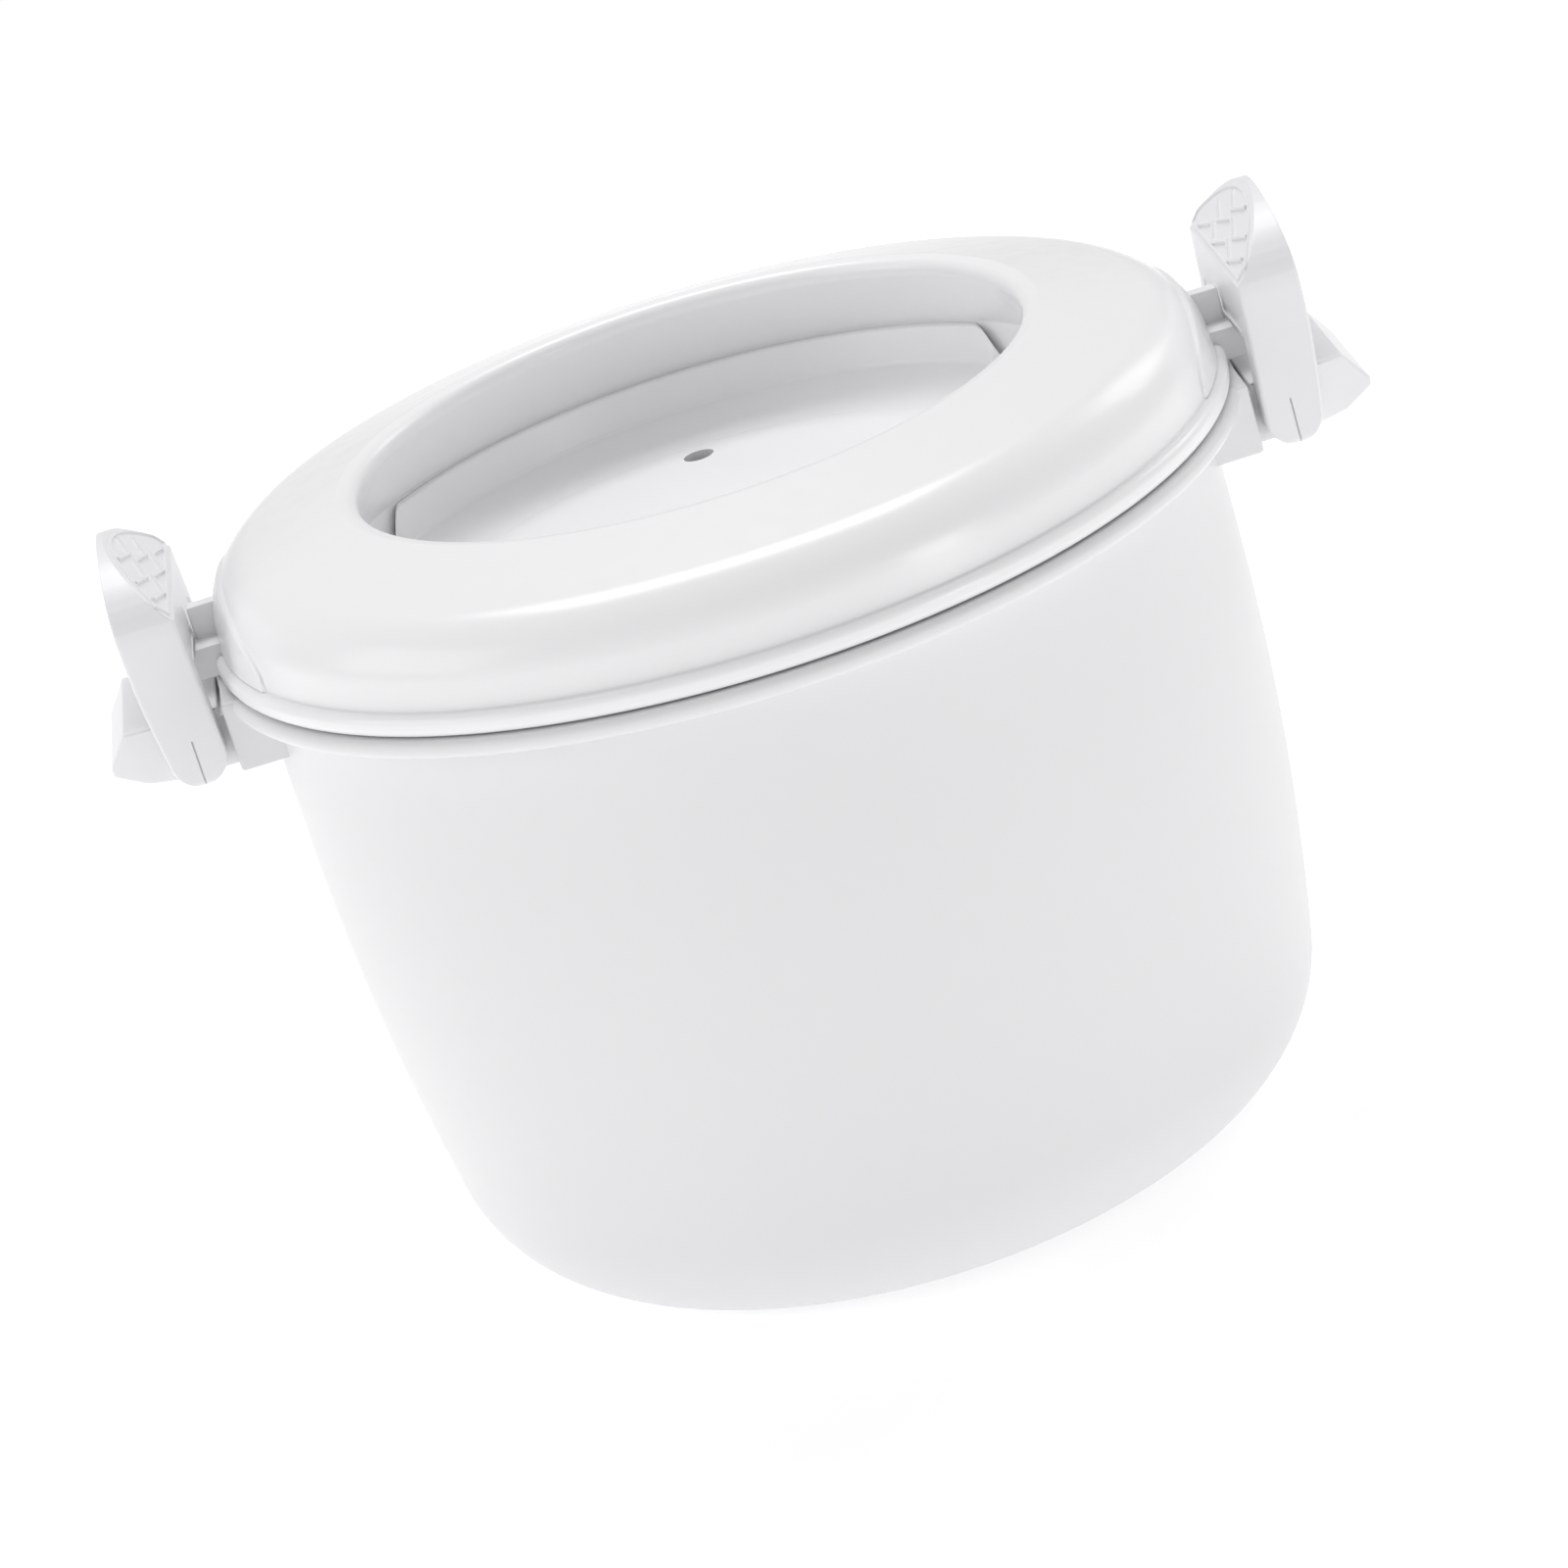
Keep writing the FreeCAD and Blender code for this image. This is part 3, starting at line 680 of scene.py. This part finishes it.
def make_lever():
    """The right lever: an arched plate with a fork, warped to its side profile."""
    low = PIVOT.z - KNUCKLE
    half_depth = mm(5)
    corner = mm(8)
    foot_corner = mm(1.0)
    steps = 28
    tops = []
    for step in range(steps + 1):
        across = LATCH_HALF * (1 - 2 * step / steps)
        tops.append((across, arch_height(across), corner if step in (0, steps) else 0))
    tops = [tops[0]] + [top for top in tops[3:-3]] + [tops[-1]]
    outline = rounded(
        [
            (-LATCH_HALF, low, foot_corner),
            (-FORK_HALF, low, foot_corner),
            (-FORK_HALF, FORK_ROOF, foot_corner),
            (FORK_HALF, FORK_ROOF, foot_corner),
            (FORK_HALF, low, foot_corner),
            (LATCH_HALF, low, foot_corner),
            *tops,
        ],
        4,
    )
    mesh = slab(
        outline, -half_depth, half_depth, lambda y, z, x: Vector((x, y, z)), mm(0.6), 3
    )
    levels = [PIVOT.z - KNUCKLE * math.cos(math.radians(turn)) for turn in range(10, 90, 8)]
    levels += [PIVOT.z + (PAD_FOOT.y - PIVOT.z) * step / 10 for step in range(11)]
    levels += [PAD_FOOT.y + (LATCH_TOP - PAD_FOOT.y) * step / 8 for step in range(1, 8)]
    for level in levels:
        geometry = mesh.verts[:] + mesh.edges[:] + mesh.faces[:]
        bmesh.ops.bisect_plane(
            mesh, geom=geometry, plane_co=(0, 0, level), plane_no=(0, 0, 1), dist=1e-7
        )
    for vertex in mesh.verts:
        inner, outer = lever_faces(vertex.co.z)
        share = (vertex.co.x + half_depth) / (2 * half_depth)
        vertex.co.x = inner + (outer - inner) * share
    slits = []
    for side in (-1, 1):
        slit = bmesh.new()
        middle = (PIVOT.x, side * LATCH_HALF, low + mm(3.0))
        size = Matrix.Diagonal((mm(0.3), mm(1.0), mm(10), 1))
        bmesh.ops.create_cube(slit, size=1, matrix=Matrix.Translation(middle) @ size)
        slits.append(slit)
    return cut(mesh, slits)


def pad_place(across, along, up):
    """A point on the thumb pad: across in Y, along up the slope, up off the pad."""
    slope = (TOP_IN - PAD_FOOT).normalized()
    spot = PAD_FOOT + slope * along + Vector((-slope.y, slope.x)) * up
    return Vector((spot.x, across, spot.y))


def pad_reach(across, margin):
    """How far up the slope the pad reaches, a margin short of the arched edge."""
    slope = (TOP_IN - PAD_FOOT).normalized()
    return (arch_height(across) - PAD_FOOT.y) / slope.y - margin


def make_pad_relief():
    """The pad's raised border and three zigzag grip ridges."""
    side = LATCH_HALF - mm(1.5)
    top_margin = mm(1.4)
    foot = mm(1.2)
    steps = 24
    border = [Vector((-side, foot)), Vector((side, foot))]
    for step in range(steps + 1):
        across = side * (1 - 2 * step / steps)
        border.append(Vector((across, pad_reach(across, top_margin))))
    relief = [("border", strip(border, True, mm(0.7), mm(0.35), pad_place))]
    period = mm(12.5)
    swing = mm(1.1)
    first_row = mm(3.0)
    row_pitch = mm(3.3)
    grip_margin = mm(1.9)
    shortest_reach = mm(4)
    trim = mm(0.5)
    falling_share = 0.6
    for row in range(3):
        middle = first_row + row_pitch * row
        reach = side - mm(2.4)
        while reach > shortest_reach and pad_reach(reach, grip_margin) < middle + swing:
            reach -= trim
        path = []
        across = -reach
        up = 1
        while across < reach:
            path.append(Vector((across, middle + swing * up)))
            across += period * (falling_share if up > 0 else 1 - falling_share)
            up = -up
        ridge = strip(path, False, mm(0.8), mm(0.55), pad_place)
        relief.append((f"grip_{row + 1}", ridge))
    return relief


def make_latches():
    """Lever, hook lip and thumb pad relief on each side."""
    lip_gap = mm(0.45)
    lip_root = KEEPER_TOP + lip_gap * (1 + SLOPE)
    lip_end = FORK_ROOF + mm(0.5)
    reach = mm(1.6)
    lip = [
        Vector((lever_faces(FORK_ROOF)[0] + mm(0.2), lip_end)),
        Vector((lever_faces(lip_root)[0] + mm(0.1), lip_root)),
        Vector((NOSE_BACK, lip_root)),
        Vector((NOSE_BACK + reach, lip_root - reach * SLOPE)),
        Vector((NOSE_BACK + reach + mm(1.35), lip_end)),
    ]
    for label, side in (("right", 1), ("left", -1)):
        node = f"latch_{label}"
        parts = [("lever", make_lever()), ("hook_lip", prism(lip, FORK_HALF, 0))]
        for part, mesh in parts + make_pad_relief():
            body = f"{node}_body"
            piece(f"{node}_{part}", mesh, body, LATCH_PLASTIC, [node], side)


def dress_pins():
    """The hinge pins keep their CAD shape and get a plastic finish."""
    for label in ("left", "right"):
        pin = frame["nodes"][f"hinge_pin_{label}"]
        for holder in pin.material_slots:
            holder.material = PIN_PLASTIC
        if not pin.material_slots:
            pin.data.materials.append(PIN_PLASTIC)


# ---------------------------------------------------------------- studio


def make_floor():
    """A wide pale floor that the pot stands on."""
    mesh = bmesh.new()
    bmesh.ops.create_grid(mesh, x_segments=1, y_segments=1, size=6)
    data = bpy.data.meshes.new("studio_floor")
    mesh.to_mesh(data)
    mesh.free()
    data.materials.append(floor_material())
    floor = bpy.data.objects.new("studio_floor", data)
    floor.location.z = -mm(0.1)
    bpy.context.scene.collection.objects.link(floor)


def aimed(thing, where, target):
    """Puts a light at a place and turns it to face the target."""
    thing.location = where
    thing.rotation_euler = (Vector(target) - Vector(where)).to_track_quat("-Z", "Y").to_euler()


def make_light(name, where, size, power):
    """A soft rectangular light aimed at the pot."""
    data = bpy.data.lights.new(name, "AREA")
    data.shape = "RECTANGLE"
    data.size, data.size_y = size
    data.energy = power
    light = bpy.data.objects.new(name, data)
    aimed(light, where, (0, 0, RIM * 0.6))
    bpy.context.scene.collection.objects.link(light)


def make_studio():
    """White surroundings and four soft lights."""
    world = bpy.data.worlds.new("studio")
    world.use_nodes = True
    back = world.node_tree.nodes["Background"]
    back.inputs["Color"].default_value = (1, 1, 1, 1)
    back.inputs["Strength"].default_value = 0.5
    bpy.context.scene.world = world
    make_light("side", (-1.2, -0.2, 0.6), (0.9, 0.7), 3.5)
    make_light("top", (0.0, 0.45, 1.2), (0.75, 0.45), 6.5)
    make_light("window", (0.9, -1.07, 0.25), (0.3, 0.5), 2.2)
    make_light("rear", (1.0, 0.7, 0.8), (0.5, 0.5), 2)
    bpy.context.scene.view_settings.view_transform = "Standard"
    bpy.context.scene.view_settings.look = "None"


def make_camera():
    """The photograph's view: a little above the lid, with the picture tilted."""
    distance = 0.9
    rise = math.radians(17.74)
    swing = math.radians(-1.2)
    tilt = math.radians(17)
    sensor = 36.0
    focal_in_widths = 5526 / 1600
    off_aim = Vector((-0.01167, 0.05065, -1))
    target = Vector((0, 0, RIM))
    back = Vector(
        (
            math.sin(swing) * math.cos(rise),
            -math.cos(swing) * math.cos(rise),
            math.sin(rise),
        )
    )
    level = Vector((math.cos(swing), math.sin(swing), 0))
    upward = level.cross(-back)
    right = level * math.cos(tilt) - upward * math.sin(tilt)
    above = level * math.sin(tilt) + upward * math.cos(tilt)
    turn = Matrix((right, above, back)).transposed()
    turn = turn @ off_aim.rotation_difference(Vector((0, 0, -1))).to_matrix()
    data = bpy.data.cameras.new("photo_view")
    data.sensor_width = sensor
    data.lens = sensor * focal_in_widths
    data.clip_start = 0.01
    camera = bpy.data.objects.new("photo_view", data)
    camera.matrix_world = Matrix.Translation(target + back * distance) @ turn.to_4x4()
    bpy.context.scene.collection.objects.link(camera)
    bpy.context.scene.camera = camera


make_pot()
make_outer_lid()
make_inner_lid()
make_handles()
make_latches()
dress_pins()
make_floor()
make_studio()
make_camera()
